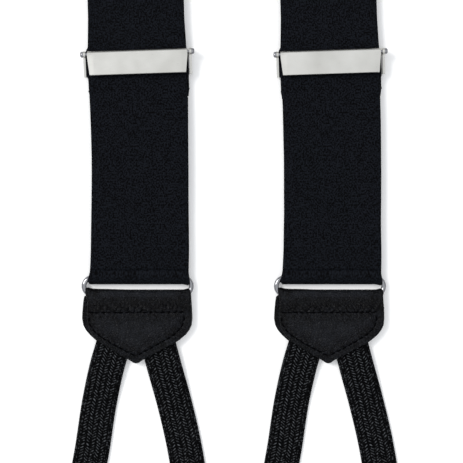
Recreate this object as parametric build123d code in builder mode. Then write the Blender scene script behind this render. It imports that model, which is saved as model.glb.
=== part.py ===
from build123d import *
import os
from math import atan2, cos, degrees, hypot, pi, radians, sin, tan

# Formal button-on braces, laid flat and open on the surface z = 0. X runs across the two straps,
# +Y runs from the front button tabs up to the shoulders and on to the back tabs, +Z is up.
# The origin is on the surface, at the middle of the whole length and width. Lengths are in millimetres.

# ---------------------------------------------------------------- driving dimensions
WEB_W = 38.2  # webbing width
WEB_T = 1.0  # webbing thickness
LEATHER_T = 1.0
BRAID_W = 13.2  # flat braid of the button tabs
BRAID_T = 1.8
WIRE_R = 1.0  # ring wire
RUN_CLEAR = 0.05  # between pieces that turn or slide on each other
LAY_CLEAR = 0.1  # between layers that only lie on each other
STRAP_PITCH = 74.6  # between the two front straps
RING_W = 43.6
RING_H = 8.7
TAB_REACH = 140.0  # from a ring's centre to the tips of its tabs
RING_TO_PATCH = 640.0  # from a front ring's centre to the patch's centre
PATCH_TO_RING = 150.0  # from there to the back ring's centre
LEAN = 1.95  # degrees that the straps lean to the left above the adjuster

# ---------------------------------------------------------------- heights
RING_Z = WEB_T + WIRE_R + RUN_CLEAR  # axis height of the ring's wire
UPPER_Z = 2 * RING_Z - WEB_T  # underside of the layer that lies over the ring
PATCH_LAYER_Z = LEATHER_T + LAY_CLEAR  # underside of the webbing inside the patch
PATCH_TOP_Z = PATCH_LAYER_Z + WEB_T + LAY_CLEAR

# ---------------------------------------------------------------- ring
BAR_Y = RING_H / 2 - WIRE_R  # from the ring's centre to the axis of each long bar
BAR_HALF = RING_W / 2 - RING_H / 2  # half of a bar's straight length
RING_SHIFT = 0.3  # the ring sits this far right of its leather end
WEB_SHIFT = 0.4  # and the webbing this far
BEND_IN = WIRE_R + RUN_CLEAR  # inside radius of webbing or leather round a bar
RELIEF_R = 1.8  # room inside the webbing's turn, where the ring's wire curves away
TURN_STUB = 3.0  # straight webbing kept with the turn
TURN_END = BAR_Y + TURN_STUB
SQUARE_RUN = 15.0  # the runs leave the turn square to it for this far

# ---------------------------------------------------------------- adjuster
PIN_Y = 90.15  # from the ring's centre to the lever's pin
PIN_X = 0.3
PIN_R = 0.55
PIN_BORE = PIN_R + RUN_CLEAR
LIP_R = 1.5  # reach of the gripping teeth from the pin's axis
KNUCKLE_R = 1.3
PIN_Z = UPPER_Z + WEB_T + RUN_CLEAR + LIP_R
COVER_W = 38.7
COVER_H = 9.5
COVER_T = 0.8
COVER_EDGE_R = 0.35  # rounding of the cover's free edge
BEVEL_W = 2.3  # the cover's ends slope down over this width
BEVEL_DROP = 0.1
END_GAP = 0.3  # the knuckle stops this far inside the cover's ends
TAPER = 0.75  # the cover is this much narrower each side at its free edge
FLANGE_FOOT = -5.6  # the end flanges stop here
EYE_R = 1.1  # the lever's flanges end in an eye round the pin
TOOTH_L = 0.7
COVER_Z = PIN_Z + KNUCKLE_R - COVER_T
FREE_EDGE = KNUCKLE_R - COVER_H  # the cover's free edge, seen from the pin
SHEET = 0.9  # frame sheet
WALL_IN = 20.1  # inside half-width of the frame
WALL_T = 0.8
WALL_OUT = WALL_IN + WALL_T
BAR_LOW = FREE_EDGE - 0.4  # the frame's lower bar, which the webbing's end is wrapped round
BAR_TOP = BAR_LOW + 2.4
FRAME_Z = WEB_T + RUN_CLEAR
ANVIL_Z = UPPER_Z - LAY_CLEAR
HEAD_R = 1.2
HEAD_T = 1.2
TOOTH_COUNT = 11
TOOTH_PITCH = 3.2
END_LAP = 14.2  # from the pin to the cut edge of the wrapped end
END_SEAM = 12.2
END_STUB = 16.5  # from the pin to where the rear run begins
END_W = WEB_W + 0.8

# ---------------------------------------------------------------- straps
RUN_TOP = 200.0  # the front run ends here and the shoulder strap begins
KNEE_Y = 290.0  # the straps lie straight up to here
BOW_Y = 460.0
PATCH_FOOT = RING_TO_PATCH - 25.0
BOW_X = 40.4  # half of the straps' spread at the bow and at the patch
FOOT_X = 20.5
STRAP_END = RING_TO_PATCH - 12.0
KNEE_DRIFT = PIN_X - (KNEE_Y - PIN_Y) * tan(radians(LEAN))

# ---------------------------------------------------------------- leather end
FOLD_HALF = 17.1  # half-width of the fold round the bar
SHOULDER_Y = -BAR_Y - 1.2  # the flaps' upper corners, cut back clear of the ring's bends
FLAP_TOP_X = 20.4
FLAP_SIDE_X = 21.4
FLAP_SIDE_Y = -18.4
FLAP_TIP_Y = -30.3
FRONT_INSET = 1.4  # the front flap is this much narrower on its left
STITCH_L = 1.6
STITCH_W = 0.5
STITCH_H = 0.25
STITCH_PITCH = 2.25

# ---------------------------------------------------------------- button loops
LOOP_HALF_W = 10.0
LOOP_HALF_L = 17.0
EYE_HALF_W = 3.8
EYE_HALF_L = 11.0
LOOP_NECK = 31.0  # from the tip back to where the flat braid ends
TAB_END_X = 21.4
TACK_L = 11.0
TACK_W = 2.2
TACK_H = 0.5
TALL = 20.0  # taller than anything here, for cutting prisms

TOTAL = 2 * TAB_REACH + RING_TO_PATCH + PATCH_TO_RING
RING_Y = TAB_REACH - TOTAL / 2
PATCH_Y = RING_Y + RING_TO_PATCH
PATCH_X = KNEE_DRIFT
BACK_Y = PATCH_Y + PATCH_TO_RING
SIDES = {"left": -STRAP_PITCH / 2, "right": STRAP_PITCH / 2}

os.makedirs("parts", exist_ok=True)


def finish(builder, name):
    """Labels a finished piece and writes it."""
    builder.part.label = name
    export_step(builder.part, f"parts/{name}.step")


def end_frame(x, y, turned=False):
    """Plane at a ring's centre. Its y runs up the strap and its -y towards the button tabs."""
    direction = (-1, 0, 0) if turned else (1, 0, 0)
    return Plane(origin=(x, y, 0), x_dir=direction, z_dir=(0, 0, 1))


def adjuster_frame_plane(x):
    """Plane at the lever's pin, square to the strap above it."""
    along = (cos(radians(LEAN)), sin(radians(LEAN)), 0)
    return Plane(origin=(x + PIN_X, RING_Y + PIN_Y, 0), x_dir=along, z_dir=(0, 0, 1))


def side_view(frame, x=0.0):
    """Plane across the frame at x. Its first axis runs up the strap, its second runs up."""
    return Plane(
        origin=frame.from_local_coords((x, 0, 0)), x_dir=frame.y_dir, z_dir=frame.x_dir
    )


def end_view(frame, y=0.0):
    """Plane that looks up the strap at y. Its first axis runs across, its second runs up."""
    return Plane(
        origin=frame.from_local_coords((0, y, 0)), x_dir=frame.x_dir, z_dir=-frame.y_dir
    )


def easy_radii(points):
    """The largest round bends, within 0.45 of the shorter run, at a route's inner points."""
    radii = []
    for before, here, after in zip(points, points[1:], points[2:]):
        run_in = (here[0] - before[0], here[1] - before[1])
        run_out = (after[0] - here[0], after[1] - here[1])
        turn = atan2(run_out[1], run_out[0]) - atan2(run_in[1], run_in[0])
        turn = abs((turn + pi) % (2 * pi) - pi)
        shorter = min(hypot(*run_in), hypot(*run_out))
        radii.append(0.45 * shorter / tan(turn / 2))
    return radii


def easy_line(points):
    """A route of straight runs joined by its easiest bends."""
    return FilletPolyline(*points, radius=easy_radii(points))


def stitches_along(points, pitch=STITCH_PITCH):
    """Places for stitches, evenly spaced along each run of a seam."""
    places = []
    for start, end in zip(points, points[1:]):
        run = (end[0] - start[0], end[1] - start[1])
        count = max(1, round(hypot(*run) / pitch))
        turn = degrees(atan2(run[1], run[0]))
        for number in range(count):
            share = (number + 0.5) / count
            at = (start[0] + run[0] * share, start[1] + run[1] * share, 0)
            places.append(Location(at, (0, 0, turn)))
    return places


def sewn_rows(seams, plane, name, pitch=STITCH_PITCH):
    """A node of separate thread stitches that lie on a surface."""
    with BuildPart() as thread:
        with BuildSketch(plane):
            for seam in seams:
                with Locations(*stitches_along(seam, pitch)):
                    SlotOverall(STITCH_L, STITCH_W)
        extrude(amount=STITCH_H)
    finish(thread, name)


# ---------------------------------------------------------------- webbing
def strap_route(x):
    """Centre line of a strap, from the knee to the patch."""
    side = 1 if x > 0 else -1
    slope = (BOW_X - FOOT_X) / (PATCH_FOOT - BOW_Y)
    end_x = FOOT_X - slope * (STRAP_END - PATCH_FOOT)
    return [
        (x + PIN_X - (RUN_TOP - PIN_Y) * tan(radians(LEAN)), RING_Y + RUN_TOP),
        (x + KNEE_DRIFT, RING_Y + KNEE_Y),
        (PATCH_X + side * BOW_X, RING_Y + BOW_Y),
        (PATCH_X + side * end_x, RING_Y + STRAP_END),
    ]


def make_strap(x, name):
    """The long shoulder run, lifted over the adjuster's travel and led into the patch."""
    side = 1 if x > 0 else -1
    lifted = UPPER_Z + WEB_T / 2
    laid = WEB_T / 2
    sewn = PATCH_LAYER_Z + WEB_T / 2
    profile = [
        (RING_Y + RUN_TOP - 5, lifted),
        (RING_Y + KNEE_Y + 25, lifted),
        (RING_Y + KNEE_Y + 85, laid),
        (RING_Y + PATCH_FOOT - 30, laid),
        (RING_Y + PATCH_FOOT - 14, sewn),
        (RING_Y + STRAP_END + 10, sewn),
    ]
    with BuildPart() as strap:
        with BuildSketch(Plane.XY):
            with BuildLine():
                easy_line(strap_route(x))
            trace(line_width=WEB_W)
            with Locations((PATCH_X - side * WEB_W, PATCH_Y)):
                Rectangle(2 * WEB_W, 4 * WEB_W, mode=Mode.SUBTRACT)
        extrude(amount=TALL)
        with BuildSketch(Plane.YZ):
            with BuildLine():
                easy_line(profile)
            trace(line_width=WEB_T)
        extrude(amount=STRAP_PITCH, both=True, mode=Mode.INTERSECT)
    finish(strap, name)


def make_front_run(x, name):
    """From the ring's turn up through the adjuster to the shoulder strap."""
    lean_x = PIN_X - (RUN_TOP - PIN_Y) * tan(radians(LEAN))
    bend_y = PIN_Y - 18
    bend_x = PIN_X + 18 * tan(radians(LEAN))
    square = (WEB_SHIFT, TURN_END + SQUARE_RUN)
    route = [(WEB_SHIFT, TURN_END), square, (bend_x, bend_y), (lean_x, RUN_TOP)]
    frame = end_frame(x, RING_Y)
    with BuildPart() as run:
        with BuildSketch(frame.offset(UPPER_Z)):
            with BuildLine():
                easy_line(route)
            trace(line_width=WEB_W)
        extrude(amount=WEB_T)
    finish(run, name)


def make_turn(x, name):
    """The webbing's turn round the ring's upper bar, with a short straight layer each side."""
    frame = end_frame(x, RING_Y)
    with BuildPart() as turn:
        with BuildSketch(side_view(frame, WEB_SHIFT - WEB_W / 2)):
            with BuildLine():
                Line((TURN_END, WEB_T / 2), (BAR_Y, WEB_T / 2))
                ThreePointArc(
                    (BAR_Y, WEB_T / 2),
                    (BAR_Y - BEND_IN - WEB_T / 2, RING_Z),
                    (BAR_Y, UPPER_Z + WEB_T / 2),
                )
                Line((BAR_Y, UPPER_Z + WEB_T / 2), (TURN_END, UPPER_Z + WEB_T / 2))
            trace(line_width=WEB_T)
        extrude(amount=WEB_W)
        for side in (-1, 1):
            with BuildSketch(side_view(frame, RING_SHIFT + side * (BAR_HALF - 0.1))):
                with Locations((BAR_Y, RING_Z)):
                    Circle(RELIEF_R)
            extrude(amount=side * WEB_W / 4, mode=Mode.SUBTRACT)
    finish(turn, name)


def make_rear_run(x, name):
    """From the ring's turn back up, behind the front run, to the sewn end."""
    frame = end_frame(x, RING_Y)
    top = PIN_Y - END_STUB - 0.8
    square = (WEB_SHIFT, TURN_END + SQUARE_RUN)
    with BuildPart() as run:
        with BuildSketch(frame):
            with BuildLine():
                easy_line([(WEB_SHIFT, TURN_END), square, (PIN_X + 0.6, top)])
            trace(line_width=WEB_W)
        extrude(amount=WEB_T)
    finish(run, name)


def make_sewn_end(frame, name):
    """The webbing's end, wrapped round the frame's lower bar from behind and lapped down on itself."""
    wrap_y = BAR_TOP + RUN_CLEAR
    wrap_z = FRAME_Z + SHEET / 2
    mid = wrap_z + WEB_T
    with BuildPart() as end:
        with BuildSketch(side_view(frame, -END_W / 2)):
            with BuildLine():
                Line((-END_STUB, WEB_T / 2), (wrap_y, WEB_T / 2))
                ThreePointArc(
                    (wrap_y, WEB_T / 2), (wrap_y + WEB_T, wrap_z), (wrap_y, mid)
                )
                Line((wrap_y, mid), (BAR_LOW - 0.6, mid))
                Line((BAR_LOW - 0.6, mid), (BAR_LOW - 2.2, 1.5 * WEB_T + RUN_CLEAR))
                Line(
                    (BAR_LOW - 2.2, 1.5 * WEB_T + RUN_CLEAR),
                    (-END_LAP, 1.5 * WEB_T + RUN_CLEAR),
                )
            trace(line_width=WEB_T)
        extrude(amount=END_W)
    finish(end, name)


# ---------------------------------------------------------------- adjuster
def make_adjuster_frame(frame, name):
    """Sheet frame: a lower bar, a raised anvil bar under the lever's teeth, and two eared walls."""
    with BuildPart() as body:
        with BuildSketch(frame.offset(FRAME_Z)):
            with Locations((0, (BAR_LOW + BAR_TOP) / 2)):
                Rectangle(2 * WALL_OUT, BAR_TOP - BAR_LOW)
        extrude(amount=SHEET)
        with BuildSketch(frame.offset(FRAME_Z)):
            with Locations((0, 0)):
                Rectangle(2 * WALL_OUT, 2 * KNUCKLE_R)
        extrude(amount=ANVIL_Z - FRAME_Z)
        for side in (-1, 1):
            with BuildSketch(side_view(frame, side * WALL_IN)):
                with BuildLine():
                    Line((BAR_LOW, FRAME_Z), (KNUCKLE_R, FRAME_Z))
                    Line((KNUCKLE_R, FRAME_Z), (KNUCKLE_R, PIN_Z))
                    ThreePointArc(
                        (KNUCKLE_R, PIN_Z), (0, PIN_Z + KNUCKLE_R), (-KNUCKLE_R, PIN_Z)
                    )
                    Line((-KNUCKLE_R, PIN_Z), (BAR_LOW, UPPER_Z + WEB_T))
                    Line((BAR_LOW, UPPER_Z + WEB_T), (BAR_LOW, FRAME_Z))
                make_face()
                with Locations((0, PIN_Z)):
                    Circle(PIN_R, mode=Mode.SUBTRACT)
            extrude(amount=side * WALL_T)
    finish(body, name)


def make_lever(frame, name):
    """Cover lever: a flat plate with end flanges, rolled round the pin, with gripping teeth."""
    half = COVER_W / 2
    flange_z = UPPER_Z + WEB_T + 0.4
    with BuildPart() as lever:
        with BuildSketch(end_view(frame)):
            with BuildLine():
                Polyline(
                    (-half, COVER_Z),
                    (-half, COVER_Z + COVER_T - BEVEL_DROP),
                    (BEVEL_W - half, COVER_Z + COVER_T),
                    (half - BEVEL_W, COVER_Z + COVER_T),
                    (half, COVER_Z + COVER_T - BEVEL_DROP),
                    (half, COVER_Z),
                    (-half, COVER_Z),
                )
            make_face()
        extrude(amount=-FREE_EDGE)
        rim = lever.faces().sort_by(Axis.Y)[0].edges()
        fillet(rim.sort_by(Axis.Z)[-3:], COVER_EDGE_R)
        with BuildSketch(side_view(frame, END_GAP - half)):
            with Locations((0, PIN_Z)):
                Circle(KNUCKLE_R)
        extrude(amount=COVER_W - 2 * END_GAP)
        for side in (-1, 1):
            with BuildSketch(side_view(frame, side * half)):
                with BuildLine():
                    Polyline(
                        (0, PIN_Z),
                        (0, flange_z + 0.1),
                        (-1.0, flange_z),
                        (FLANGE_FOOT - 0.5, flange_z + 0.6),
                        (FLANGE_FOOT, COVER_Z + 0.1),
                        (0, COVER_Z + 0.1),
                        (0, PIN_Z),
                    )
                make_face()
                with Locations((0, PIN_Z)):
                    Circle(EYE_R)
            extrude(amount=-side * COVER_T)
        with BuildSketch(frame):
            for side in (-1, 1):
                with BuildLine():
                    Polyline(
                        (side * half, -KNUCKLE_R),
                        (side * (half - TAPER), FREE_EDGE),
                        (side * (half - TAPER), FREE_EDGE - 1),
                        (side * (half + 1), FREE_EDGE - 1),
                        (side * (half + 1), -KNUCKLE_R),
                        (side * half, -KNUCKLE_R),
                    )
                make_face()
        extrude(amount=TALL, mode=Mode.SUBTRACT)
        with BuildSketch(side_view(frame, -half)):
            with Locations((0, PIN_Z)):
                Circle(PIN_BORE)
        extrude(amount=COVER_W, mode=Mode.SUBTRACT)
        with BuildSketch(end_view(frame, TOOTH_L / 2)):
            with GridLocations(TOOTH_PITCH, 0, TOOTH_COUNT, 1):
                with Locations((0, PIN_Z - LIP_R)):
                    Trapezoid(2.0, 0.7, 110, align=(Align.CENTER, Align.MIN))
        extrude(amount=TOOTH_L)
    finish(lever, name)


def make_pin(frame, name):
    """Hinge pin with a low round head outside each ear."""
    with BuildPart() as pin:
        with BuildSketch(side_view(frame, -WALL_OUT)):
            with Locations((0, PIN_Z)):
                Circle(PIN_R)
        extrude(amount=2 * WALL_OUT)
        for side in (-1, 1):
            with BuildSketch(side_view(frame, side * WALL_OUT)):
                with Locations((0, PIN_Z)):
                    Circle(HEAD_R)
            extrude(amount=side * HEAD_T)
        outer = pin.edges().filter_by(GeomType.CIRCLE).group_by(Axis.X)
        fillet(outer[0] + outer[-1], 0.7)
    finish(pin, name)


# ---------------------------------------------------------------- ring, leather end and tabs
def make_ring(frame, shift, name):
    """Flat obround ring of round wire."""
    left, right = shift - BAR_HALF, shift + BAR_HALF
    with BuildPart() as ring:
        with BuildLine(frame.offset(RING_Z)) as route:
            Line((left, BAR_Y), (right, BAR_Y))
            ThreePointArc((right, BAR_Y), (right + BAR_Y, 0), (right, -BAR_Y))
            Line((right, -BAR_Y), (left, -BAR_Y))
            ThreePointArc((left, -BAR_Y), (left - BAR_Y, 0), (left, BAR_Y))
        with BuildSketch(side_view(frame, left)):
            with Locations((BAR_Y, RING_Z)):
                Circle(WIRE_R)
        sweep(path=route.wire())
    finish(ring, name)


def flap_line(inset):
    """Outline of one leather flap: notched shoulders, straight sides and a pointed foot."""
    corners = [
        ((-FOLD_HALF, -BAR_Y), 0),
        ((FOLD_HALF, -BAR_Y), 0),
        ((FOLD_HALF, SHOULDER_Y), 0.4),
        ((FLAP_TOP_X, SHOULDER_Y), 1.0),
        ((FLAP_SIDE_X, FLAP_SIDE_Y), 7.0),
        ((0, FLAP_TIP_Y), 1.5),
        ((inset - FLAP_SIDE_X, FLAP_SIDE_Y + inset / 2), 7.0),
        ((inset - FLAP_TOP_X, SHOULDER_Y), 1.0),
        ((-FOLD_HALF, SHOULDER_Y), 0.4),
    ]
    points = [point for point, _ in corners]
    return FilletPolyline(*points, radius=[radius for _, radius in corners], close=True)


def make_kip(frame, name):
    """Leather folded over the ring's lower bar: back flap, fold and front flap in one piece."""
    with BuildPart() as kip:
        for z, inset in ((0, 0), (UPPER_Z, FRONT_INSET)):
            with BuildSketch(frame.offset(z)):
                with BuildLine():
                    flap_line(inset)
                make_face()
            extrude(amount=LEATHER_T)
        with BuildSketch(side_view(frame, -FOLD_HALF)):
            with Locations((-BAR_Y, RING_Z)):
                Circle(BEND_IN + LEATHER_T)
                Circle(BEND_IN, mode=Mode.SUBTRACT)
            with Locations((-BAR_Y - RING_H, RING_Z)):
                Rectangle(2 * RING_H, 2 * RING_H, mode=Mode.SUBTRACT)
        extrude(amount=2 * FOLD_HALF)
    finish(kip, name)


def kip_seams():
    """Seam lines of a leather end: one across, and one round the sides and the foot."""
    across = [(-18.9, -10.1), (18.3, -10.1)]
    left = [(-18.4, -11.2), (-18.4, -14.6), (-14.6, -19.3), (-0.4, -26.8)]
    right = [(0.4, -26.5), (14.6, -18.9), (17.9, -15.0), (18.3, -11.2)]
    return [across, left, right]


def make_braid(frame, route, end_x, name):
    """A flat braided tab: sewn in under the leather, laid down outside it, ending in a button loop."""
    middle = BRAID_T / 2
    profile = [
        (-10, RING_Z),
        (FLAP_TIP_Y - 1, RING_Z),
        (FLAP_TIP_Y - 16, middle),
        (-TAB_REACH - 5, middle),
    ]
    points = [*route, (end_x, LOOP_NECK - TAB_REACH)]
    with BuildPart() as braid:
        with BuildSketch(frame):
            with BuildLine():
                easy_line(points)
            trace(line_width=BRAID_W)
            with Locations((end_x, LOOP_HALF_L - TAB_REACH)):
                Ellipse(LOOP_HALF_W, LOOP_HALF_L)
                Ellipse(EYE_HALF_W, EYE_HALF_L, mode=Mode.SUBTRACT)
        extrude(amount=TALL)
        with BuildSketch(side_view(frame)):
            with BuildLine():
                easy_line(profile)
            trace(line_width=BRAID_T)
        extrude(amount=STRAP_PITCH, both=True, mode=Mode.INTERSECT)
    finish(braid, name)


def make_tacks(frame, name):
    """A bar tack of thread across each tab's neck, above its button loop."""
    with BuildPart() as tacks:
        with BuildSketch(frame.offset(BRAID_T)):
            with Locations(
                (-TAB_END_X, LOOP_NECK + 2 - TAB_REACH),
                (TAB_END_X, LOOP_NECK + 2 - TAB_REACH),
            ):
                SlotOverall(TACK_L, TACK_W)
        extrude(amount=TACK_H)
    finish(tacks, name)


LEFT_LEG = [(-7.2, -14.0), (-12.7, -36.6), (-18.5, -68.5), (-TAB_END_X, -88.0)]
RIGHT_LEG = [(6.9, -14.0), (19.8, -68.5), (TAB_END_X, -84.0)]


def make_leather_end(frame, name, left_tab, right_tab):
    """The leather end with its seams, its two tabs and their tacks."""
    make_kip(frame, f"{name}_kip")
    sewn_rows(kip_seams(), frame.offset(UPPER_Z + LEATHER_T), f"{name}_kip_stitching")
    make_braid(frame, LEFT_LEG, -TAB_END_X, left_tab)
    make_braid(frame, RIGHT_LEG, TAB_END_X, right_tab)
    make_tacks(frame, f"{name}_loop_tacks")


for side, side_x in SIDES.items():
    at_ring = end_frame(side_x, RING_Y)
    at_pin = adjuster_frame_plane(side_x)
    make_strap(side_x, f"{side}_strap")
    make_front_run(side_x, f"{side}_front_run")
    make_turn(side_x, f"{side}_webbing_turn")
    make_rear_run(side_x, f"{side}_rear_run")
    make_sewn_end(at_pin, f"{side}_sewn_end")
    end_seam = [(-END_W / 2 + 2, -END_SEAM), (END_W / 2 - 2, -END_SEAM)]
    lap_top = at_pin.offset(2 * WEB_T + RUN_CLEAR)
    sewn_rows([end_seam], lap_top, f"{side}_end_stitching")
    make_adjuster_frame(at_pin, f"{side}_adjuster_frame")
    make_lever(at_pin, f"{side}_adjuster_lever")
    make_pin(at_pin, f"{side}_adjuster_pin")
    make_ring(at_ring, RING_SHIFT, f"{side}_ring")
    outer, inner = f"{side}_outer_braid", f"{side}_inner_braid"
    tabs = (outer, inner) if side == "left" else (inner, outer)
    make_leather_end(at_ring, side, *tabs)


# ---------------------------------------------------------------- back
at_back = end_frame(PATCH_X, BACK_Y, turned=True)
at_patch = Plane(origin=(PATCH_X, PATCH_Y, 0), x_dir=(1, 0, 0), z_dir=(0, 0, 1))
PATCH_FOOT_W = 46.0  # half-widths and heights of the patch, from its centre
PATCH_HEAD_W = 22.0
PATCH_WAIST_W = 33.0
PATCH_HALF_H = 30.0
PATCH_NOTCH = 24.0  # the foot rises to here in the middle
BACK_LAP = 36.0  # from the ring's centre to the back strap's cut end
BACK_SEAM = 29.5


def make_patch(z, name):
    """One leather of the back patch: wide at the two straps, waisted, narrow at the back strap."""
    with BuildPart() as patch:
        with BuildSketch(at_patch.offset(z)) as outline:
            with BuildLine():
                Polyline(
                    (-PATCH_FOOT_W, -PATCH_HALF_H),
                    (0, -PATCH_NOTCH),
                    (PATCH_FOOT_W, -PATCH_HALF_H),
                )
                for side in (-1, 1):
                    ThreePointArc(
                        (side * PATCH_FOOT_W, -PATCH_HALF_H),
                        (side * PATCH_WAIST_W, 0),
                        (side * PATCH_HEAD_W, PATCH_HALF_H),
                    )
                Line((-PATCH_HEAD_W, PATCH_HALF_H), (PATCH_HEAD_W, PATCH_HALF_H))
            make_face()
            fillet(outline.vertices(), 2.0)
        extrude(amount=LEATHER_T)
    finish(patch, name)


make_patch(0, "patch_under")
make_patch(PATCH_TOP_Z, "patch_top")
patch_rows = [
    [(-40.0, -26.0), (0, -20.8), (40.0, -26.0)],
    [(-38.6, -22.0), (-31.6, -6.0), (-25.2, 10.0), (-19.4, 26.0)],
    [(38.6, -22.0), (31.6, -6.0), (25.2, 10.0), (19.4, 26.0)],
    [(-17.4, 26.6), (17.4, 26.6)],
    [(-26.0, 1.0), (26.0, 1.0)],
]
sewn_rows(patch_rows, at_patch.offset(PATCH_TOP_Z + LEATHER_T), "patch_stitching")

with BuildPart() as back_strap:
    main_z = PATCH_LAYER_Z + WEB_T / 2
    over_z = UPPER_Z + WEB_T / 2
    with BuildSketch(side_view(at_back, -WEB_W / 2)):
        with BuildLine():
            easy_line(
                [(PATCH_TO_RING - 1, main_z), (22, main_z), (11, over_z), (BAR_Y, over_z)]
            )
            ThreePointArc(
                (BAR_Y, over_z),
                (BAR_Y - BEND_IN - WEB_T / 2, RING_Z),
                (BAR_Y, WEB_T / 2),
            )
            Line((BAR_Y, WEB_T / 2), (BACK_LAP, WEB_T / 2))
        trace(line_width=WEB_T)
    extrude(amount=WEB_W)
    for side in (-1, 1):
        with BuildSketch(side_view(at_back, side * (BAR_HALF - 0.1))):
            with Locations((BAR_Y, RING_Z)):
                Circle(RELIEF_R)
        extrude(amount=side * WEB_W / 4, mode=Mode.SUBTRACT)
finish(back_strap, "back_strap")

back_rows = [
    [(-17, BACK_SEAM), (17, BACK_SEAM)],
    [(-17, BACK_SEAM + 2.5), (17, BACK_SEAM + 2.5)],
]
back_top = at_back.offset(PATCH_LAYER_Z + WEB_T)
sewn_rows(back_rows, back_top, "back_strap_stitching")
make_ring(at_back, 0, "back_ring")
make_leather_end(at_back, "back", "back_right_braid", "back_left_braid")
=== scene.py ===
import math

import bpy
import numpy as np
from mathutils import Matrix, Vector


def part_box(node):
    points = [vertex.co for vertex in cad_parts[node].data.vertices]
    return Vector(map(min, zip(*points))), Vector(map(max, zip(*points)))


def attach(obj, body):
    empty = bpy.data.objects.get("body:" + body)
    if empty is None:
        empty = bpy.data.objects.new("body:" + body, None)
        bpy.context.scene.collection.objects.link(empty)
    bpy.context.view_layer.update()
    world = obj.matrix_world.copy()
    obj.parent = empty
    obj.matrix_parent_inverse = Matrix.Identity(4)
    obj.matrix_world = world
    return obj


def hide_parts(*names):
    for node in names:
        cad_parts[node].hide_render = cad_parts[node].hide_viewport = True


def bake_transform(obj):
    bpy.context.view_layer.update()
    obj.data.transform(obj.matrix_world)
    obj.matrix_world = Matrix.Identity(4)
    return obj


# Formal button-on braces laid open on a pale surface. Shapes are worked out in millimetres in a
# local frame, x across, y up the strap and z up, and placed in metres in the shared frame.

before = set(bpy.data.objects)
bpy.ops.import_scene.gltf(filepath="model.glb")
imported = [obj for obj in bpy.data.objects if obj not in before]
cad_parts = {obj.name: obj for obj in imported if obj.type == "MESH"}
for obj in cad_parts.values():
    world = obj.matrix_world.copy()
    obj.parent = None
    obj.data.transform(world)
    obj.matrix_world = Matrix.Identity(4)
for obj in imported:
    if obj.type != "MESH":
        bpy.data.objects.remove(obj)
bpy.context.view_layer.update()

MM = 0.001
WEB_T = 1.0
LEATHER_T = 1.0
RING_Z = 2.05  # height of the ring wire's axis
BAR_Y = 3.35  # from the ring's centre to each long bar
BAR_HALF = 17.45  # half of a long bar's straight length
RING_SHIFT = 0.3  # the ring sits this far right of the leather end
UPPER_MID = 3.6  # mid-height of the layers that lie over the ring
LOWER_MID = 0.5
PATCH_MID = 1.6  # mid-height of the webbing inside the patch
LEAN = math.radians(1.95)
RUN_TOP = 200.0  # the front run ends here and the shoulder strap begins
TURN_END = 6.35  # the turn ends here and the front and rear runs begin
REAR_TOP = 73.4  # the rear run ends here and the sewn end begins
BRAID_HALF = 6.75
BRAID_STEP = 0.26  # between stations along a braid
TAB_X = 21.4  # from the middle of a leather end to each tab's loop
OVER_LEATHER = 0.52  # from a leather's mid-surface to the thread that lies on it
rng = np.random.default_rng(7)


def smooth(value, low, high):
    """0 below low, 1 above high, and an even rise between."""
    share = np.clip((np.asarray(value, float) - low) / (high - low), 0, 1)
    return share * share * (3 - 2 * share)


def curve(knots, at):
    """A smooth line through knots of (place, value), read at the given places."""
    places = np.array([k[0] for k in knots], float)
    values = np.array([k[1] for k in knots], float)
    slopes = np.gradient(values, places)
    at = np.asarray(at, float)
    index = np.clip(np.searchsorted(places, at) - 1, 0, len(places) - 2)
    step = places[index + 1] - places[index]
    t = (at - places[index]) / step
    a, b = values[index], values[index + 1]
    inside = (
        (2 * t**3 - 3 * t**2 + 1) * a
        + (t**3 - 2 * t**2 + t) * step * slopes[index]
        + (3 * t**2 - 2 * t**3) * b
        + (t**3 - t**2) * step * slopes[index + 1]
    )
    return np.where(t < 0, a + (at - places[index]) * slopes[index], inside)


def straight(knots, at):
    """Straight lines through knots of (place, value)."""
    return np.interp(at, [k[0] for k in knots], [k[1] for k in knots])


def downward(knots, at):
    """Straight lines through knots of (place, value) whose places fall."""
    return np.interp(-at, [-k[0] for k in knots], [k[1] for k in knots])


def directions(line):
    """Unit vectors along a line of points."""
    ahead = np.gradient(line, axis=0)
    return ahead / np.linalg.norm(ahead, axis=1)[:, None]


def distance_from(runs, x, y):
    """Distance from the nearest of some polylines."""
    best = np.full(np.shape(x), 99.0)
    for run in runs:
        for (ax, ay), (bx, by) in zip(run, run[1:]):
            dx, dy = bx - ax, by - ay
            t = np.clip(((x - ax) * dx + (y - ay) * dy) / (dx * dx + dy * dy), 0, 1)
            best = np.minimum(best, np.hypot(x - ax - t * dx, y - ay - t * dy))
    return best


# ---------------------------------------------------------------- places
class Place:
    """A local frame: millimetres from an origin in metres, turned about the vertical."""

    def __init__(self, x, y, turn=0.0):
        self.x, self.y, self.turn = x, y, turn

    def __call__(self, points):
        points = np.asarray(points, float)
        c, s = math.cos(self.turn), math.sin(self.turn)
        out = np.empty_like(points)
        out[..., 0] = self.x + MM * (c * points[..., 0] - s * points[..., 1])
        out[..., 1] = self.y + MM * (s * points[..., 0] + c * points[..., 1])
        out[..., 2] = MM * points[..., 2]
        return out


def middle(node):
    """The middle of a CAD node's box, in metres."""
    low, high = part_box(node)
    return (Vector(low) + Vector(high)) / 2


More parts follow.
